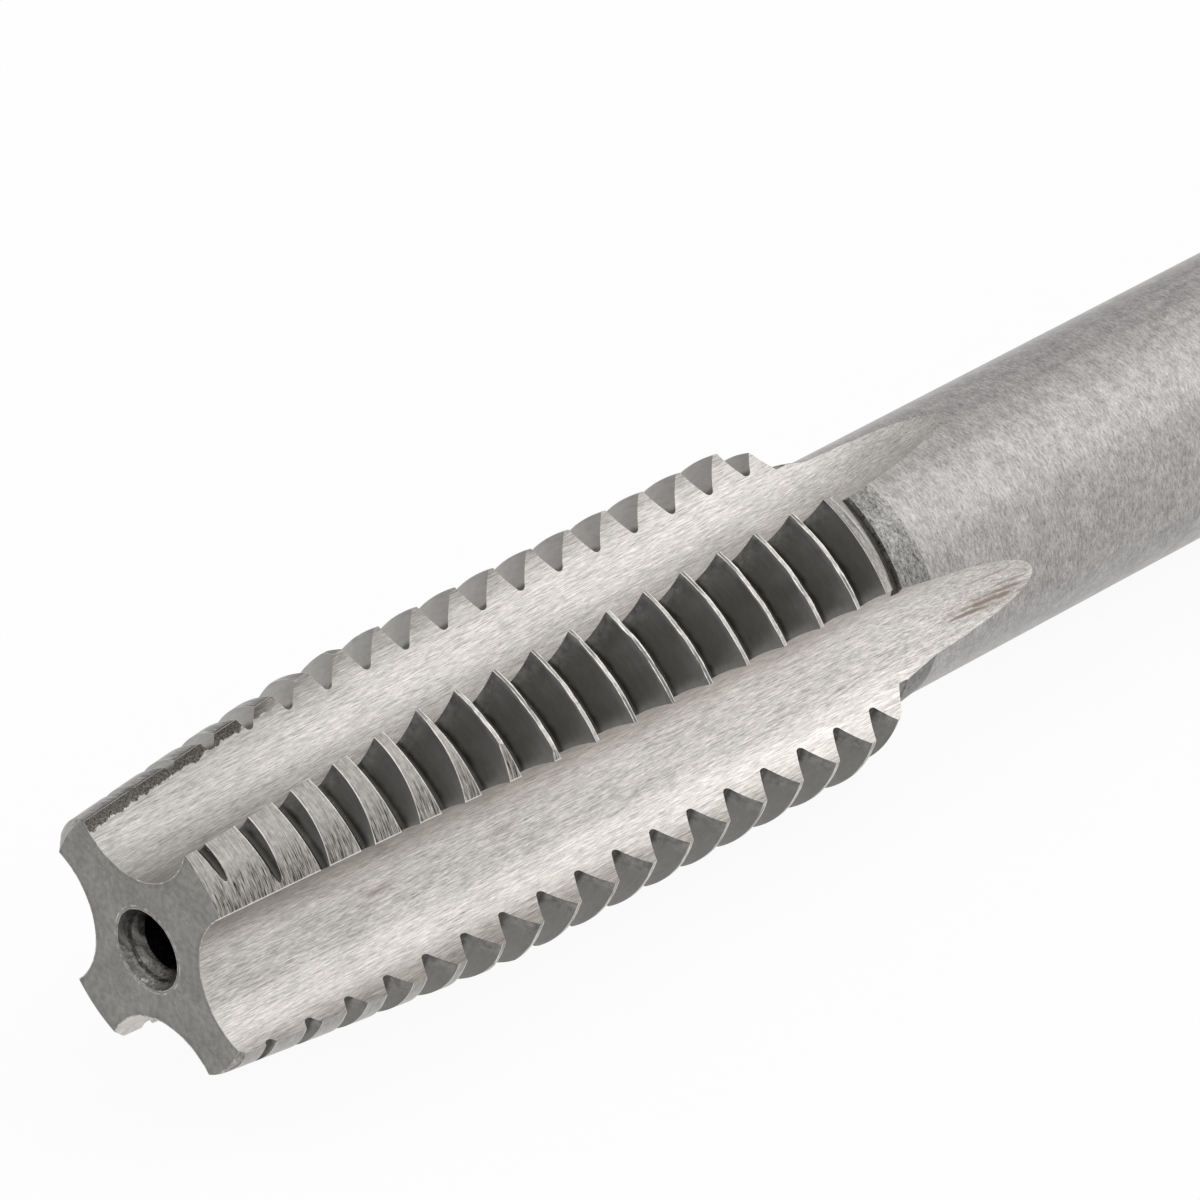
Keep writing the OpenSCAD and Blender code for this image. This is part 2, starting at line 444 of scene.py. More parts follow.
def bend_blank(bm, p, sizes):
    """Leans the shoulder, keeps the undercut to the middle land, and makes the neck and the rim uneven."""
    rough = 0.012
    for vert in bm.verts:
        turn = math.atan2(-vert.co.y, vert.co.z)
        radius = math.hypot(vert.co.y, vert.co.z)
        to_middle = math.cos(turn - MIDDLE_LAND)
        in_undercut = p.foot - NEAR < vert.co.x < p.burr - NEAR
        if p.end - NEAR < vert.co.x < p.neck_end - 0.2:
            # Each land ends a little further on one side, and the lean dies out along the neck.
            outward = Vector((0, vert.co.y, vert.co.z)) / radius
            share = min(1.0, (p.neck_back - vert.co.x) / (p.neck_back - p.neck_front))
            vert.co.x += share * sizes.end_lean / MM * math.cos(turn - sizes.lean_turn)
            if in_undercut:
                aside = min(1.0, max(0.0, (0.9 - to_middle) / 0.2))
                vert.co += outward * (p.skin_r - radius) * aside
            elif vert.co.x > p.neck_front - 0.3 and radius > p.groove_r + 0.1:
                wander = rough * noise.noise(vert.co * 3.0) + rough * noise.noise(vert.co * 7.0)
                vert.co += outward * wander
        elif vert.co.x < p.rim_l + NEAR and radius > p.rim_r - NEAR:
            # The rim's chamfer is hardly there on the middle land, and wider on the others.
            more = sizes.tip_chamfer / MM * (0.35 - 1.1 * to_middle)
            if vert.co.x < NEAR:
                vert.co *= (radius - more) / radius
            else:
                vert.co.x += more


def blank_region(p, distance, radius):
    """The region that a face of the blank belongs to, by its distance from the tip and its radius."""
    if distance < NEAR:
        return "end_face"
    if distance < p.end - 1.0 and radius < p.thread_r - 0.1:
        return "tip_rim"
    if distance < p.foot + 0.4 and radius > p.groove_r + 0.6:
        return "thread_crest"
    if distance < p.neck_front + 0.5 and radius < p.groove_r + 0.025:
        return "undercut"
    if distance < p.neck_end:
        return "neck_turned"
    return "driving_square" if distance > p.total_l - NEAR else "shank_ground"


def blank_shape(sizes):
    """The turned blank."""
    p = blank_places(sizes)
    steps = 240
    bm = closed(spun(blank_outline(p, sizes.neck_fall / MM), steps))
    bend_blank(bm, p, sizes)
    for face in bm.faces:
        middle = face.calc_center_median()
        face.material_index = SLOT[blank_region(p, middle.x, math.hypot(middle.y, middle.z))]
    return as_object(bm, "blank")


def groove_shape(sizes):
    """The thread groove along its helix, as a solid to take away."""
    t = thread_section(sizes)
    nick = sizes.nick / MM
    lip, lip_w, nick_reach, over = 0.03, 0.024, 0.13, 0.35
    steps_a_turn, turns = 180, 17
    # The foot is round and runs a little deeper than the flat root, and the lips at the crest are broken.
    side = [
        (0.04, t.root_r - 0.07),
        (0.1, t.root_r - 0.045),
        (t.half_root, t.root_r),
        (t.half_top - nick_reach * t.slope, t.thread_r - nick_reach),
        (t.half_top - lip * t.slope, t.thread_r - lip),
        (t.half_top + lip_w, t.thread_r + 0.002),
        (t.half_top + lip_w + over * t.slope, t.thread_r + over),
    ]
    outline = [(t.start - x, r) for x, r in reversed(side)] + [(t.start + x, r) for x, r in side]
    outline.append(outline[0])
    bm = spun(outline, steps_a_turn, slide=t.pitch)
    one_turn = whole(bm)
    for count in range(1, turns):
        bmesh.ops.translate(bm, verts=copied(bm, one_turn), vec=(count * t.pitch, 0, 0))
    closed(bm)
    for vert in bm.verts:
        if math.hypot(vert.co.y, vert.co.z) > t.thread_r - 0.05:
            wander = noise.noise(vert.co * 1.7) + 0.6 * noise.noise(vert.co * 5.3)
            chip = max(0.0, noise.noise(vert.co * 3.1 + Vector((7, 1, 4))) - 0.55)
            vert.co.x += nick * (wander + 5 * chip)
    return as_object(bm, "groove", "thread_flank")


def relief_shape(sizes):
    """What stands out of each land's relief cone, whose axis is set off towards the cutting edge."""
    offset, tip_d, thread_d, last_off = in_mm(sizes, "relief_offset", "tip_d", "thread_d", "relief_off")
    cone_front = tip_d / 2 - offset
    slope = math.tan(sizes.lead_angle)
    cut_edge = flute_angles(sizes)[0]
    before, after, over = 1.5, 14.5, 1.2
    margin = math.radians(20)
    span = math.radians(52.5) + 2 * margin
    rings, steps = 29, 90
    outline = [(-before, cone_front - before * slope)]
    for ring in range(1, rings + 1):
        distance = after * ring / rings
        outline.append((distance, cone_front + distance * slope))
    outline += [(after, thread_d / 2 + over), (-before, thread_d / 2 + over), outline[0]]
    bm = spun(outline, steps, turn=span)
    turn_verts(bm, bm.verts, -margin, "X")
    bmesh.ops.translate(bm, verts=bm.verts, vec=(0, 0, offset))
    turn_verts(bm, bm.verts, cut_edge, "X")
    # The last land is ground less deep at its cutting edge.
    turn = cut_edge + (LANDS - 1) * QUARTER
    out = Vector((0, -math.sin(turn), math.cos(turn))) * last_off
    return as_object(quartered(closed(bm), out), "relief", "lead_ground")


def flute_shape(sizes):
    """The four flutes: round channels that rise with the core and run out in the wheel's arc."""
    turn, front, rise_angle, set_angle, channel_l = flute_line(sizes)
    flute_r, runout_r = in_mm(sizes, "flute_r", "runout_r")
    over = 1
    sides, steps, arc_steps = 128, 40, 28
    bm = bmesh.new()
    verts = bmesh.ops.create_circle(bm, radius=flute_r, segments=sides, cap_ends=False)["verts"]
    turn_verts(bm, verts, QUARTER, "Y")
    bmesh.ops.translate(bm, verts=verts, vec=(-over, 0, 0))
    edges = bm.edges[:]
    for _ in range(steps):
        made = bmesh.ops.extrude_edge_only(bm, edges=edges)["geom"]
        verts = [v for v in made if isinstance(v, bmesh.types.BMVert)]
        edges = [e for e in made if isinstance(e, bmesh.types.BMEdge)]
        edges = [e for e in edges if e.verts[0] in verts and e.verts[1] in verts]
        bmesh.ops.translate(bm, verts=verts, vec=((channel_l + over) / steps, 0, 0))
    bmesh.ops.spin(
        bm,
        geom=verts + edges,
        cent=(channel_l, 0, runout_r - flute_r),
        axis=(0, -1, 0),
        angle=sizes.runout_turn,
        steps=arc_steps,
    )
    turn_verts(bm, bm.verts, set_angle, "Z")
    turn_verts(bm, bm.verts, -rise_angle, "Y")
    bmesh.ops.translate(bm, verts=bm.verts, vec=(0, 0, front))
    turn_verts(bm, bm.verts, turn, "X")
    return as_object(quartered(closed(bm)), "flutes", "flute_ground")


def end_holes(sizes):
    """The centre holes of both ends, with the rings that their drill left, as one cutter."""
    mouth_d, pilot_d, depth, total_l = in_mm(
        sizes, "centre_mouth_d", "centre_pilot_d", "centre_depth", "total_l"
    )
    mouth_r, pilot_r = mouth_d / 2, pilot_d / 2
    cone_angle, point_angle = math.radians(30), math.radians(59)
    slope = math.tan(cone_angle)
    cone_l = (mouth_r - pilot_r) / slope
    over = 1
    rings, steps, step = 4, 96, 0.03
    outline = [(-over, 0), (-over, mouth_r + over * slope)]
    for ring in range(1, rings):
        distance = cone_l * ring / rings
        radius = mouth_r - distance * slope
        outline += [(distance - step, radius + step), (distance + step, radius - step)]
    outline += [(cone_l, pilot_r), (depth, pilot_r), (depth + pilot_r / math.tan(point_angle), 0)]
    bm = closed(spun(outline, steps))
    verts = copied(bm, whole(bm))
    turn_verts(bm, verts, math.pi, "Z")
    bmesh.ops.translate(bm, verts=verts, vec=(total_l, 0, 0))
    return as_object(bm, "centre_holes", "centre_hole")


def square_shape(sizes):
    """The four cuts that leave the driving square."""
    side, total_l, square_l, square_w = in_mm(sizes, "shank_d", "total_l", "square_l", "square_w")
    over = 1
    cut_l = square_l + over
    bm = bmesh.new()
    cube = bmesh.ops.create_cube(bm, size=1)["verts"]
    bmesh.ops.scale(bm, verts=cube, vec=(cut_l, 2 * side, side))
    bmesh.ops.translate(bm, verts=cube, vec=(total_l - square_l + cut_l / 2, 0, (square_w + side) / 2))
    return as_object(quartered(bm), "square_cuts", "driving_square")


def corner_shape(sizes):
    """The four slanting cuts across the square's corners at the rear end."""
    side, total_l, end_chamfer = in_mm(sizes, "shank_d", "total_l", "end_chamfer")
    bm = bmesh.new()
    cube = bmesh.ops.create_cube(bm, size=side)["verts"]
    bmesh.ops.translate(bm, verts=cube, vec=(0, 0, side / 2))
    turn_verts(bm, cube, QUARTER / 2, "Y")
    bmesh.ops.translate(bm, verts=cube, vec=(total_l, 0, side / 2 - end_chamfer))
    turn_verts(bm, cube, QUARTER / 2, "X")
    return as_object(quartered(bm), "corner_cuts", "driving_square")


def cut_away(piece, cutters):
    """Takes the cutters off the piece, one after the other, and removes them."""
    for cutter in cutters:
        modifier = piece.modifiers.new("cut", "BOOLEAN")
        modifier.operation = "DIFFERENCE"
        modifier.solver = "MANIFOLD"
        modifier.material_mode = "TRANSFER"
        modifier.object = cutter
    graph = bpy.context.evaluated_depsgraph_get()
    mesh = bpy.data.meshes.new_from_object(piece.evaluated_get(graph))
    piece.modifiers.clear()
    old = piece.data
    piece.data = mesh
    bpy.data.meshes.remove(old)
    for cutter in cutters:
        bpy.data.meshes.remove(cutter.data)
    if not mesh.polygons:
        raise RuntimeError("the cuts left nothing of the tap")


class TAP_OT_materials(bpy.types.Operator):
    """Makes the tap's finishes"""

    bl_idname = "tap.make_finishes"
    bl_label = "Make Finishes"

    def execute(self, context):
        sizes = context.scene.tap_sizes
        make_place_groups(sizes)
        make_mark_groups()
        for region, painter in PAINTERS.items():
            finish = Finish(region, sizes, context.scene.tap_finishes)
            painter(finish, finish.graph)
        return {"FINISHED"}


class TAP_OT_body(bpy.types.Operator):
    """Models the tap and lays it where the CAD solid lies"""

    bl_idname = "tap.cut_tap"
    bl_label = "Cut Tap"

    def execute(self, context):
        sizes = context.scene.tap_sizes
        shapes = (groove_shape, relief_shape, flute_shape, end_holes, square_shape, corner_shape)
        piece = blank_shape(sizes)
        cut_away(piece, [shape(sizes) for shape in shapes])
        piece.name = piece.data.name = "hand_tap"
        bm = bmesh.new()
        bm.from_mesh(piece.data)
        bmesh.ops.remove_doubles(bm, verts=bm.verts, dist=NEAR)
        bmesh.ops.dissolve_degenerate(bm, edges=bm.edges, dist=NEAR)
        bm.transform(lay_matrix(sizes))
        bm.to_mesh(piece.data)
        bm.free()
        sharp_angle = math.radians(24)
        piece.data.shade_smooth()
        piece.data.set_sharp_from_angle(angle=sharp_angle)
        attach(piece, "root")
        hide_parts("tap")
        return {"FINISHED"}


def make_place_groups(sizes):
    """The groups that say where a point of the tap lies."""
    t = thread_section(sizes)
    # Where a point is on the tap: along it, round it, from the axis, and against the thread's groove.
    g, given, made = new_group(
        "Tap position",
        [("Place", VECTOR, None)],
        [("Along", NUMBER), ("Turn", NUMBER), ("Radius", NUMBER), ("Round", VECTOR), ("Groove edge", NUMBER)],
    )
    x, y, z = g.add("ShaderNodeSeparateXYZ", given["Place"]).outputs
    turn = g.math("ARCTAN2", g.times(y, -1.0), z)
    radius = g.vector_math("LENGTH", g.vector(0.0, y, z))
    g.feed(made["Along"], x)
    g.feed(made["Turn"], turn)
    g.feed(made["Radius"], radius)
    g.feed(made["Round"], g.vector(x, g.times(turn, t.thread_r), radius))
    place = g.minus(g.minus(x, g.times(turn, t.pitch / (2 * math.pi))), t.start)
    from_middle = g.math("PINGPONG", place, t.pitch / 2)
    half = g.linear(g.minus(radius, t.root_r), t.slope, t.half_root)
    g.feed(made["Groove edge"], g.minus(from_middle, half))

    # How far a point of a land stands from the walls of the flutes on both of its sides.
    flute_turn, front, rise_angle, set_angle, _ = flute_line(sizes)
    g, given, made = new_group(
        "Flute edges",
        [("Turn", NUMBER, 0.0), ("Radius", NUMBER, 0.0), ("Along", NUMBER, 0.0)],
        [("Cutting edge", NUMBER), ("Heel", NUMBER), ("Land turn", NUMBER)],
    )
    quarter = g.math("FLOORED_MODULO", given["Turn"], QUARTER)
    g.feed(made["Land turn"], quarter)
    turned = Matrix.Rotation(flute_turn, 3, "X")
    origin = turned @ Vector((0, 0, front))
    leaning = Matrix.Rotation(-rise_angle, 3, "Y") @ Matrix.Rotation(set_angle, 3, "Z")
    along = turned @ leaning @ Vector((1, 0, 0))
    for label, shift in (("Cutting edge", 0.0), ("Heel", QUARTER)):
        local = g.minus(quarter, shift)
        aside = g.times(g.math("SINE", local), given["Radius"], -1.0)
        high = g.times(g.math("COSINE", local), given["Radius"])
        reach = g.vector_math("SUBTRACT", g.vector(given["Along"], aside, high), tuple(origin))
        away = g.vector_math("LENGTH", g.vector_math("CROSS_PRODUCT", reach, tuple(along)))
        g.feed(made[label], g.minus(away, sizes.flute_r / MM))


def make_mark_groups():
    """The groups for streaks, edge lines and stains."""
    # Fine streaks that a wheel or a lathe tool leaves: long one way and narrow the other ways.
    g, given, made = new_group(
        "Grinding streaks",
        [("Vector", VECTOR, None), ("Stretch", VECTOR, (1.0, 1.0, 1.0)), ("Contrast", NUMBER, 1.0)],
        [("Streaks", NUMBER), ("Height", NUMBER)],
    )
    place = g.vector_math("MULTIPLY", given["Vector"], given["Stretch"])
    fine = g.noise(place, 1.0)
    finer = g.noise(place, 2.7, 1.0)
    broad = g.noise(place, 0.2)
    height = g.linear(broad, 0.12, g.linear(fine, 0.5, g.times(finer, 0.38)))
    g.feed(made["Streaks"], g.times(g.minus(height, 0.5), given["Contrast"]))
    g.feed(made["Height"], height)

    # A line that follows an edge and is broken by nicks.
    g, given, made = new_group(
        "Edge line",
        [("Distance", NUMBER, 0), ("Width", NUMBER, 0.05), ("Broken", NUMBER, 0.3), ("Place", VECTOR, None)],
        [("Mask", NUMBER)],
    )
    nicks = g.minus(g.noise(given["Place"], 5.0, 3.0, 0.6), 0.5)
    width = g.times(given["Width"], g.linear(nicks, given["Broken"], 1.0))
    share = g.math("DIVIDE", g.math("ABSOLUTE", given["Distance"]), width)
    g.feed(made["Mask"], g.band(share, 0.6, 1.1, 1.0, 0.0))

    # An oval stain in the grinding streaks of a flute.
    labels = ("Along", "Turn", "Radius", "Streaks", "At", "At turn", "Half length", "Half width", "Strength")
    g, given, made = new_group("Stain", [(label, NUMBER, 1.0) for label in labels], [("Mask", NUMBER)])
    far = g.math("DIVIDE", g.minus(given["Along"], given["At"]), given["Half length"])
    aside = g.times(g.minus(given["Turn"], given["At turn"]), given["Radius"])
    reach = g.vector(far, g.math("DIVIDE", aside, given["Half width"]), 0.0)
    torn = g.linear(given["Streaks"], -7.0, g.vector_math("LENGTH", reach))
    g.feed(made["Mask"], g.band(torn, 0.3, 1.2, given["Strength"], 0.0))


class Finish:
    """One of the tap's materials: its graph, the tap's own coordinates in millimetres, and its shader."""

    def __init__(self, name, sizes, tints):
        self.tints = tints
        self.root_r = thread_section(sizes).root_r
        self.lead_slope = math.tan(sizes.lead_angle)
        self.mouth_r, self.pilot_r = (d / 2 for d in in_mm(sizes, "centre_mouth_d", "centre_pilot_d"))
        material = bpy.data.materials.new(name)
        material.use_nodes = True
        material.node_tree.nodes.clear()
        graph = self.graph = Graph(material.node_tree)
        self.shader = graph.add("ShaderNodeBsdfPrincipled")
        self.shader.inputs["Metallic"].default_value = 1.0
        graph.add("ShaderNodeOutputMaterial", self.shader.outputs[0])
        lean, height = lay_angle(sizes)
        mapping = graph.add("ShaderNodeMapping", vector_type="TEXTURE")
        mapping.inputs["Location"].default_value = (-sizes.total_l / 2 * math.cos(lean), 0, height * MM)
        mapping.inputs["Rotation"].default_value = (0, lean, 0)
        mapping.inputs["Scale"].default_value = (MM, MM, MM)
        graph.feed(mapping.inputs["Vector"], graph.add("ShaderNodeTexCoord").outputs["Object"])
        self.place = mapping.outputs[0]
        where = graph.group("Tap position", Place=self.place)
        self.along, self.turn, self.radius, self.round, self.groove_edge = where
        edges = graph.group("Flute edges", Turn=self.turn, Radius=self.radius, Along=self.along)
        self.cut_edge, self.heel, self.land_turn = edges

    def tint(self, name):
        return tuple(getattr(self.tints, name))

    def streaks(self, vector, stretch, contrast):
        """Grinding streaks: how much lighter or darker they make a point, and their height."""
        return self.graph.group("Grinding streaks", Vector=vector, Stretch=stretch, Contrast=contrast)

    def edge_highlight(self, colour, distance, width, broken, strength):
        """Adds a painted highlight along an edge: a bright broken line, which also stands for the burrs
        there.
        """
        line = self.graph.group("Edge line", Distance=distance, Width=width, Place=self.place, Broken=broken)
        return self.graph.mix(self.graph.times(line["Mask"], strength), colour, self.tint("edge"))

    def burnt(self, colour, mask):
        """Lays grainy burnt oil over a colour."""
        grain = self.graph.band(self.graph.noise(self.place, 17.0, 2.0, 0.7), 0.4, 0.62, 0.4, 2.8)
        return self.graph.mix(mask, colour, self.graph.scaled(self.tint("soot"), grain))

    def paint(self, colour, roughness, height, depth):
        """Gives the shader its colour, its roughness and a relief of the given depth in millimetres."""
        graph = self.graph
        graph.feed(self.shader.inputs["Base Color"], colour)
        graph.feed(self.shader.inputs["Roughness"], roughness)
        bump = graph.add("ShaderNodeBump")
        bump.inputs["Strength"].default_value = 1.0
        bump.inputs["Distance"].default_value = depth * MM
        graph.feed(bump.inputs["Height"], height)
        graph.feed(self.shader.inputs["Normal"], bump.outputs[0])


# Each painter takes a finish f and its graph g, and gives the finish its colour, roughness and relief.


def paint_end_face(f, g):
    """Matt and mottled, with painted shade along the flutes, and broken bright lines along the flutes and
    round the hole that are painted edge highlights and burrs.
    """
    grain = g.noise(f.place, 4.0, 3.0, 0.6)
    patch = g.noise(f.place, 0.9)
    near = g.math("MINIMUM", f.cut_edge, f.heel)
    # Painted shade: darker in a band along the flute edges.
    level = g.times(g.band(near, 0.0, 0.3, 0.88, 1.02), g.band(grain, 0.3, 0.7, 0.8, 1.2))
    level = g.times(level, g.band(patch, 0.3, 0.7, 0.92, 1.08))
    torn = g.band(g.noise(f.place, 3.3, 3.0, 0.65), 0.47, 0.57)
    # The broken bright lines along the flute edges and round the hole are painted edge highlights and burrs.
    colour = f.edge_highlight(g.scaled(f.tint("face"), level), near, 0.045, 1.0, g.linear(torn, 0.5, 0.2))
    colour = f.edge_highlight(colour, g.minus(f.radius, f.mouth_r + 0.13), 0.03, 1.9, g.times(torn, 0.45))
    colour = f.edge_highlight(colour, g.minus(f.radius, f.mouth_r), 0.04, 1.2, g.times(torn, 0.5))
    fleck = g.band(g.noise(f.place, 13.0, 1.0), 0.7, 0.76, 0.0, 0.3)
    f.paint(g.mix(fleck, colour, f.tint("edge")), g.band(grain, 0.2, 0.8, 0.42, 0.55), grain, 0.006)


def paint_tip_rim(f, g):
    """A rough narrow chamfer."""
    streak = f.streaks(f.round, (9.0, 2.0, 9.0), 4.0)
    f.paint(g.scaled(f.tint("rim"), g.plus(streak["Streaks"], 1.0)), 0.4, streak["Height"], 0.008)


def paint_centre_hole(f, g):
    """Dark rings and smears, with painted light on the lower wall, painted shade deep in the hole, and
    painted glints near the mouth.
    """
    smear = g.noise(f.place, 3.4, 4.0, 0.65)
    low = g.band(g.math("COSINE", f.turn), -0.9, 0.3, 1.0, 0.0)
    warped = g.linear(g.times(smear, low), 5.0, g.times(f.radius, 7.0))
    rings = g.noise(g.vector(warped, 0.0, g.times(smear, 2.0)), 1.0, 1.0)
    level = g.times(g.band(rings, 0.35, 0.65, 0.45, 1.1), g.band(smear, 0.35, 0.65, 0.65, 1.2))
    # Painted light: the lower wall is made lighter.
    level = g.times(level, g.linear(low, 1.9, 1.0))
    # Painted shade: darker towards the pilot hole.
    painted_depth_shade = g.band(f.radius, f.pilot_r - 0.05, f.pilot_r + 0.25, 0.6, 1.0)
    step = g.minus(f.radius, f.mouth_r - 0.2)
    line = g.group("Edge line", Distance=step, Width=0.045, Place=f.place, Broken=1.6)["Mask"]
    colour = g.scaled(f.tint("hole"), g.times(level, painted_depth_shade, g.linear(line, -0.6, 1.0)))
    # The bright flecks are painted glints on the lit lower wall.
    fleck = g.band(g.noise(f.place, 5.0, 5.0, 0.75), 0.58, 0.66, 0.0, 0.7)
    fleck = g.times(fleck, low, g.band(f.radius, f.pilot_r, f.mouth_r))
    f.paint(g.mix(fleck, colour, f.tint("edge")), 0.36, smear, 0.05)


# The stains in the flutes: distance from the tip, turn in degrees, half length, half width, strength.
FLUTE_STAINS = (
    (7.6, 93.0, 0.8, 0.2, 0.4),
    (13.2, 94.0, 0.7, 0.18, 0.35),
    (34.6, 99.0, 1.4, 0.06, 0.75),
    (35.5, 96.5, 1.4, 0.09, 0.75),
    (35.8, 94.0, 1.2, 0.07, 0.65),
    (35.3, 96.0, 1.9, 0.45, 0.3),
    (36.1, 91.0, 1.0, 0.05, 0.55),
    (35.0, 84.0, 1.3, 0.05, 0.45),
)


def paint_flute(f, g):
    """Ground along the tap, with painted shade beside the heels, stained, and burnt along the upper heel."""
    streak = f.streaks(f.place, (1.5, 24.0, 24.0), 3.0)
    sweep = f.streaks(f.place, (0.35, 7.0, 7.0), 0.5)["Streaks"]
    level = g.plus(g.plus(streak["Streaks"], sweep), 1.0)
    level = g.times(level, g.band(g.noise(f.place, 0.5), 0.3, 0.7, 0.96, 1.04))
    # Painted shade: the wall beside each heel is made darker.
    by_heel = g.band(f.land_turn, math.radians(45), math.radians(75))
    by_heel = g.times(by_heel, g.band(f.radius, 3.3, 5.0))
    upper = g.band(g.math("COSINE", f.turn), 0.3, 0.7)
    by_end = g.times(g.band(f.along, 31.0, 36.0), g.linear(upper, 0.14, 0.05))
    by_tip = g.times(upper, g.band(f.along, 1.0, 14.0, 0.2, 0.05))
    level = g.times(level, g.linear(by_heel, -0.18, 1.0), g.minus(1.0, by_end), g.minus(1.0, by_tip))
    colour = g.scaled(f.tint("flute"), g.times(level, g.band(f.along, 4.0, 30.0, 0.88, 1.08)))
    for at, at_turn, half_length, half_width, strength in FLUTE_STAINS:
        spot = {"At": at, "At_turn": math.radians(at_turn), "Strength": strength}
        spot |= {"Half_length": half_length, "Half_width": half_width}
        mask = g.group("Stain", Along=f.along, Turn=f.turn, Radius=f.radius, Streaks=sweep, **spot)["Mask"]
        colour = g.mix(mask, colour, f.tint("stain"))
    upper_heel = g.times(upper, g.math("GREATER_THAN", f.land_turn, math.radians(45)))
    depth = g.linear(f.along, -f.lead_slope, f.radius)
    jagged = g.noise(f.place, 3.0, 4.0, 0.65)
    near_lip = g.band(g.linear(jagged, 0.6, depth), 4.58, 4.62)
    colour = f.burnt(colour, g.times(near_lip, upper_heel, g.band(f.along, 7.0, 9.5, 0.9, 0.0)))
    f.paint(colour, g.band(streak["Height"], 0.35, 0.65, 0.3, 0.42), streak["Height"], 0.005)


def paint_lead(f, g):
    """The lead's crests: ground round the tap, scored along their heels, and burnt on the upper land."""
    streak = f.streaks(f.round, (21.0, 0.9, 0.0), 2.4)
    by_heel = g.band(g.linear(streak["Streaks"], 1.2, f.heel), 0.4, 1.4, 1.0, 0.0)
    colour = g.mix(g.times(by_heel, 0.6), f.tint("lead"), f.tint("lead_dark"))
    level = g.times(streak["Streaks"], g.linear(by_heel, 2.6, 1.0))
    mottle = g.band(g.noise(f.place, 5.0, 4.0, 0.65), 0.35, 0.65, 0.86, 1.1)
    colour = g.scaled(colour, g.times(g.plus(level, 1.0), mottle))
    upper = g.times(g.band(f.turn, 0.0, -0.1), g.band(f.turn, -1.5, -1.4))
    jagged = g.linear(g.noise(f.place, 3.0, 4.0, 0.65), 0.5, f.heel)
    scorched = g.band(jagged, 0.38, 0.44, 1.0, 0.0)
    colour = f.burnt(colour, g.times(scorched, upper, g.band(f.along, 7.0, 9.5, 0.95, 0.0)))
    # Painted highlights along the heel and along the crest edges, broken like burrs.
    colour = f.edge_highlight(colour, f.heel, 0.045, 1.2, 0.8)
    above_root = g.band(f.radius, f.root_r, f.root_r + 0.2, 0.0, 0.6)
    f.paint(f.edge_highlight(colour, f.groove_edge, 0.04, 1.4, above_root), 0.32, streak["Height"], 0.006)


def paint_flank(f, g):
    """Smooth, with painted shade nearly black at the very foot, smudged at the cutting edge, painted lighter
    on the upper land and darker on the low side.
    """
    streak = f.streaks(f.round, (6.0, 1.2, 6.0), 0.6)
    smudge = g.noise(f.place, 3.5, 4.0, 0.6)
    # Painted shade: the foot of each flank goes nearly black where the crests keep the light off the root.
    foot = g.linear(g.minus(g.noise(f.place, 1.6), 0.5), 0.3, f.radius)
    colour = g.mix(g.band(foot, f.root_r - 0.04, f.root_r + 0.16), f.tint("root"), f.tint("flank"))
    by_edge = g.band(f.cut_edge, 0.1, 0.9, 1.0, 0.0)
    level = g.linear(g.minus(smudge, 0.46), g.times(by_edge, 2.0), 1.0)
    # Painted light: the flanks of the upper land are made much lighter.
    upper_land_painted_light = g.times(g.band(f.turn, 0.0, -0.4), g.band(f.turn, -1.5, -1.4))
    level = g.times(g.plus(streak["Streaks"], level), g.linear(upper_land_painted_light, 0.9, 1.0))
    # Painted shade: the flanks on the low side are made darker.
    colour = g.scaled(colour, g.times(level, g.band(f.turn, 1.75, 1.95, 1.0, 0.87)))
    fleck = g.band(g.noise(f.place, 17.0, 1.0), 0.74, 0.78, 0.0, 0.4)
    fleck = g.times(fleck, g.band(foot, f.root_r + 0.1, f.root_r + 0.5, 1.0, 0.0))
    f.paint(g.mix(fleck, colour, f.tint("edge")), 0.36, smudge, 0.004)


def paint_crest(f, g):
    """Painted highlights on both edges, with a dark line between them that comes and goes in patches."""
    streak = f.streaks(f.round, (14.0, 2.4, 0.0), 3.0)
    colour = g.scaled(f.tint("crest"), g.plus(streak["Streaks"], 1.0))
    inside = g.linear(streak["Streaks"], 0.05, f.groove_edge)
    dark = g.times(g.band(inside, 0.04, 0.07), g.band(inside, 0.12, 0.16, 1.0, 0.0))
    patchy = g.band(g.noise(f.place, 0.5), 0.4, 0.56, 0.95, 0.1)
    dark = g.times(dark, g.band(f.along, 29.25, 29.4, 0.85, 0.6), patchy)
    # The bright lines along the crest edges are painted highlights.
    colour = f.edge_highlight(g.mix(dark, colour, f.tint("groove")), f.groove_edge, 0.05, 1.7, 0.85)
    colour = g.scaled(colour, g.band(g.noise(f.place, 6.0, 4.0, 0.65), 0.35, 0.65, 0.86, 1.08))
    f.paint(colour, 0.32, streak["Height"], 0.008)


def paint_turned(f, g, base, place, stretch, contrast, roughness, depth, level=None):
    """Short strokes round the tap, under a soft cloudiness and, where a level is given, painted shade."""
    streak = f.streaks(place, stretch, contrast)
    cloud = g.band(g.noise(f.place, 1.6, 4.0, 0.6), 0.3, 0.7, 0.88, 1.12)
    if level is not None:
        cloud = g.times(cloud, level)
    colour = g.scaled(base, g.times(g.plus(streak["Streaks"], 1.0), cloud))
    rough = g.band(streak["Height"], 0.3, 0.7, roughness - 0.05, roughness + 0.05)
    f.paint(colour, rough, streak["Height"], depth)


def paint_undercut(f, g):
    """Painted shade in the undercut behind the middle land."""
    # The dark root colour here is painted shade in the narrow groove.
    base = g.mix(g.band(g.toward(f.turn, 45), 0.7, 0.9), f.tint("neck"), f.tint("root"))
    paint_turned(f, g, base, f.round, (7.0, 3.0, 3.0), 3.0, 0.42, 0.006)


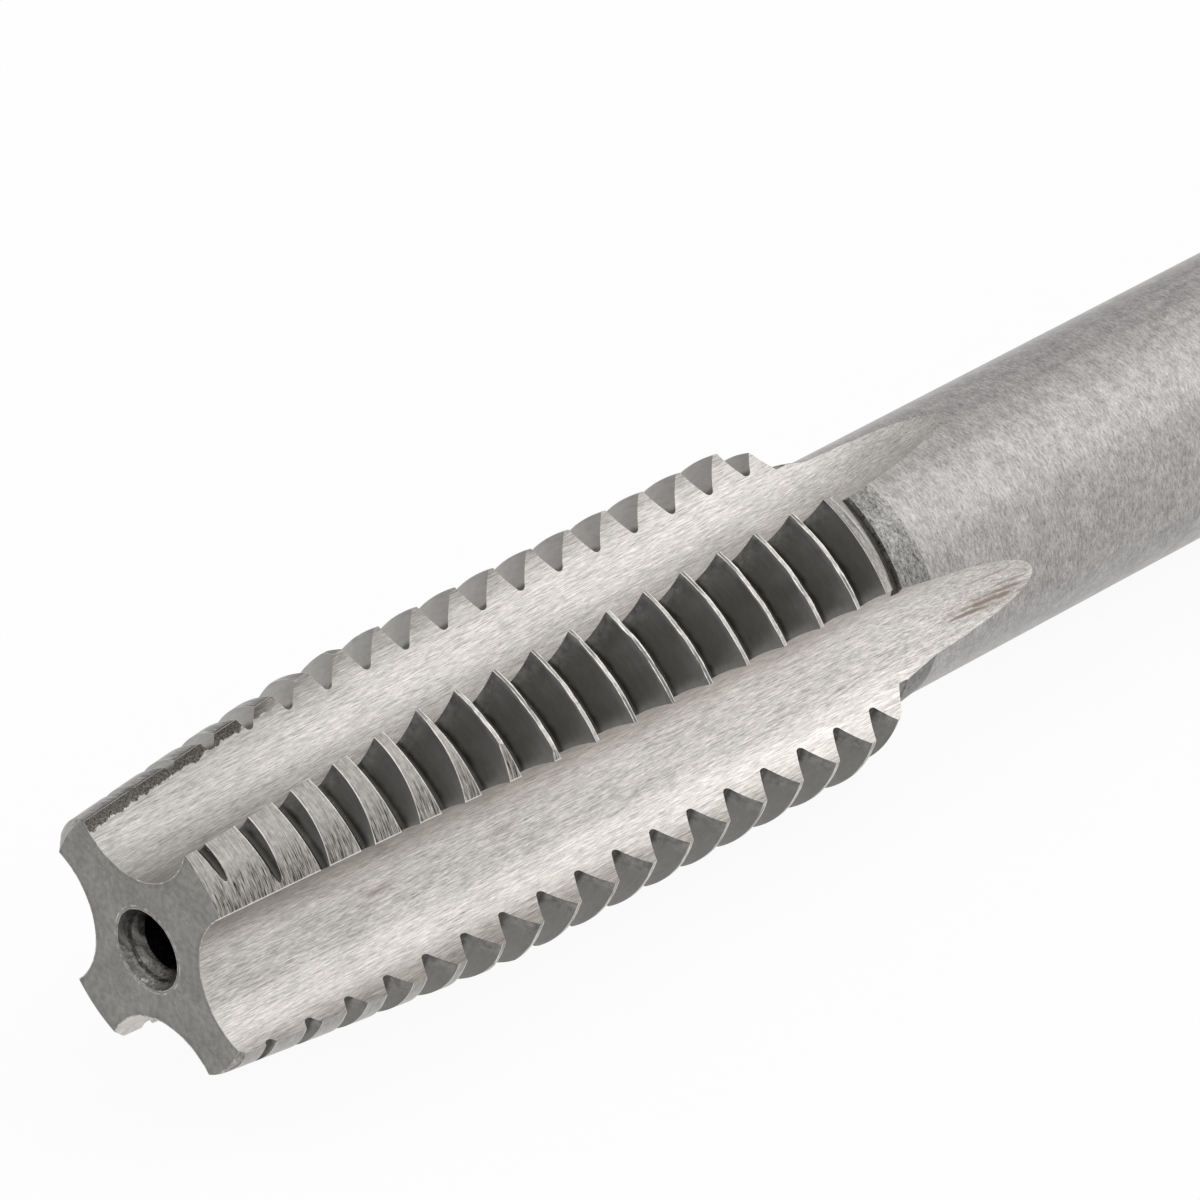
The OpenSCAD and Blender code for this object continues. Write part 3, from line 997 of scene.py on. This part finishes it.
def paint_neck(f, g):
    """Rough, with painted shade away from the middle land, most on the low side."""
    # Painted shade: darker away from the middle land and on the low side.
    painted_shade = g.band(g.toward(f.turn, 45), 0.1, 0.8, 0.6, 1.0)
    painted_shade = g.times(painted_shade, g.band(f.turn, math.radians(48), math.radians(66), 1.0, 0.84))
    paint_turned(f, g, f.tint("neck"), f.round, (9.0, 4.0, 0.5), 4.4, 0.42, 0.008, painted_shade)


def paint_shank(f, g):
    """Satin, with painted shade on the low side."""
    # Painted shade: darker towards the low side.
    painted_shade = g.band(g.toward(f.turn, 125), 0.4, 1.0, 1.05, 0.88)
    paint_turned(f, g, f.tint("shank"), f.round, (14.0, 3.2, 0.5), 2.6, 0.36, 0.02, painted_shade)


def paint_square(f, g):
    """Milled flats and the rear end."""
    paint_turned(f, g, f.tint("shank"), f.place, (8.0, 3.0, 3.0), 1.4, 0.36, 0.006)


# How each region of the tap is finished, in the order of the mesh's material slots.
PAINTERS = {
    "end_face": paint_end_face,
    "tip_rim": paint_tip_rim,
    "centre_hole": paint_centre_hole,
    "flute_ground": paint_flute,
    "lead_ground": paint_lead,
    "thread_flank": paint_flank,
    "thread_crest": paint_crest,
    "undercut": paint_undercut,
    "neck_turned": paint_neck,
    "shank_ground": paint_shank,
    "driving_square": paint_square,
}
SLOT = {region: index for index, region in enumerate(PAINTERS)}


class TAP_OT_stage(bpy.types.Operator):
    """Sets up the floor, the soft light and the camera"""

    bl_idname = "tap.set_stage"
    bl_label = "Set Stage"

    def execute(self, context):
        scene = context.scene
        scene.view_settings.view_transform = "Standard"
        make_floor(scene, scene.tap_stage)
        make_light(scene, scene.tap_stage)
        make_camera(scene)
        return {"FINISHED"}


def make_floor(scene, settings):
    """A large white floor that stays white around the object's soft shadow."""
    radius, gap, own_light = 3.0, 0.00002, 0.93
    bm = bmesh.new()
    bmesh.ops.create_circle(bm, cap_ends=True, radius=radius, segments=64)
    bmesh.ops.translate(bm, verts=bm.verts, vec=(0, 0, -gap))
    mesh = bpy.data.meshes.new("floor")
    bm.to_mesh(mesh)
    bm.free()
    floor = bpy.data.objects.new("floor", mesh)
    scene.collection.objects.link(floor)
    material = bpy.data.materials.new("floor_white")
    material.use_nodes = True
    material.node_tree.nodes.clear()
    g = Graph(material.node_tree)
    lit = g.add("ShaderNodeBsdfDiffuse", (*settings.floor, 1)).outputs[0]
    glow = g.add("ShaderNodeEmission", (1, 1, 1, 1), 1.0).outputs[0]
    rays = g.add("ShaderNodeLightPath").outputs
    seen = g.math("MAXIMUM", rays["Is Camera Ray"], rays["Is Glossy Ray"])
    seen = g.math("MAXIMUM", seen, rays["Is Transmission Ray"])
    mixed = g.add("ShaderNodeMixShader", g.times(seen, own_light), lit, glow).outputs[0]
    g.add("ShaderNodeOutputMaterial", mixed)
    mesh.materials.append(material)


def make_light(scene, settings):
    """Pale light from all round, brighter from above, and one large soft lamp."""
    # The side of the studio beyond the tip, which is dark, and the way to its brightest part.
    front = (-0.95, -0.1, 0.2)
    bright = (0.0, -0.45, 0.89)
    lamp_at = (0.57, -0.38, 0.72)
    world = bpy.data.worlds.new("studio")
    world.use_nodes = True
    world.node_tree.nodes.clear()
    scene.world = world
    g = Graph(world.node_tree)
    toward = g.add("ShaderNodeTexCoord").outputs["Generated"]
    high = g.band(g.vector_math("DOT_PRODUCT", toward, bright), 0.1, 0.6)
    colour = g.mix(high, tuple(settings.world_low), tuple(settings.world_high))
    dark = g.vector_math("DOT_PRODUCT", toward, front)
    dark = g.band(dark, 0.35, 0.95, 1.0, 1.0 - settings.front_dark)
    background = g.add("ShaderNodeBackground", g.scaled(colour, dark), 1.0).outputs[0]
    g.add("ShaderNodeOutputWorld", background)
    lamp = bpy.data.lights.new("key_lamp", "AREA")
    lamp.shape = "SQUARE"
    lamp.size = 0.95
    lamp.energy = settings.key_power
    piece = bpy.data.objects.new("key_lamp", lamp)
    piece.location = lamp_at
    piece.rotation_euler = Vector(lamp_at).to_track_quat("Z", "Y").to_euler()
    scene.collection.objects.link(piece)


def make_camera(scene):
    """The camera at the photograph's angle, for a square picture."""
    camera = bpy.data.cameras.new("camera")
    camera.sensor_fit = "HORIZONTAL"
    camera.sensor_width = 36
    camera.lens = 315
    camera.clip_start = 0.01
    camera.clip_end = 20
    right = Vector((0.7152215, -0.6931534, -0.0894241))
    up = Vector((0.3889130, 0.2884153, 0.8749647))
    back = Vector((-0.5806935, -0.6605718, 0.4758572))
    place = Matrix((right, up, back)).transposed().to_4x4()
    place.translation = Vector((-0.2294602, -0.2345627, 0.1786783))
    piece = bpy.data.objects.new("camera", camera)
    piece.matrix_world = place
    scene.collection.objects.link(piece)
    scene.camera = piece


class VIEW3D_PT_thread_tap(bpy.types.Panel):
    """The tap's sizes, finishes and stage"""

    bl_label = "Thread Tap"
    bl_space_type = "VIEW_3D"
    bl_region_type = "UI"
    bl_category = "Thread Tap"

    def draw(self, context):
        column = self.layout.column()
        for operator in OPERATORS:
            column.operator(operator.bl_idname)
        for group in (context.scene.tap_sizes, context.scene.tap_finishes, context.scene.tap_stage):
            for name in group.bl_rna.properties.keys():
                if name not in ("rna_type", "name"):
                    column.prop(group, name)


GROUPS = {"tap_sizes": TapSizes, "tap_finishes": TapFinishes, "tap_stage": StageSettings}
OPERATORS = [TAP_OT_stage, TAP_OT_materials, TAP_OT_body]


def register():
    for made in (*GROUPS.values(), *OPERATORS, VIEW3D_PT_thread_tap):
        bpy.utils.register_class(made)
    for name, group in GROUPS.items():
        setattr(bpy.types.Scene, name, bpy.props.PointerProperty(type=group))


def unregister():
    for name in GROUPS:
        delattr(bpy.types.Scene, name)
    for made in (VIEW3D_PT_thread_tap, *reversed(OPERATORS), *reversed(GROUPS.values())):
        bpy.utils.unregister_class(made)


def main():
    register()
    bpy.ops.tap.set_stage()
    bpy.ops.tap.make_finishes()
    bpy.ops.tap.cut_tap()


if __name__ == "__main__":
    main()
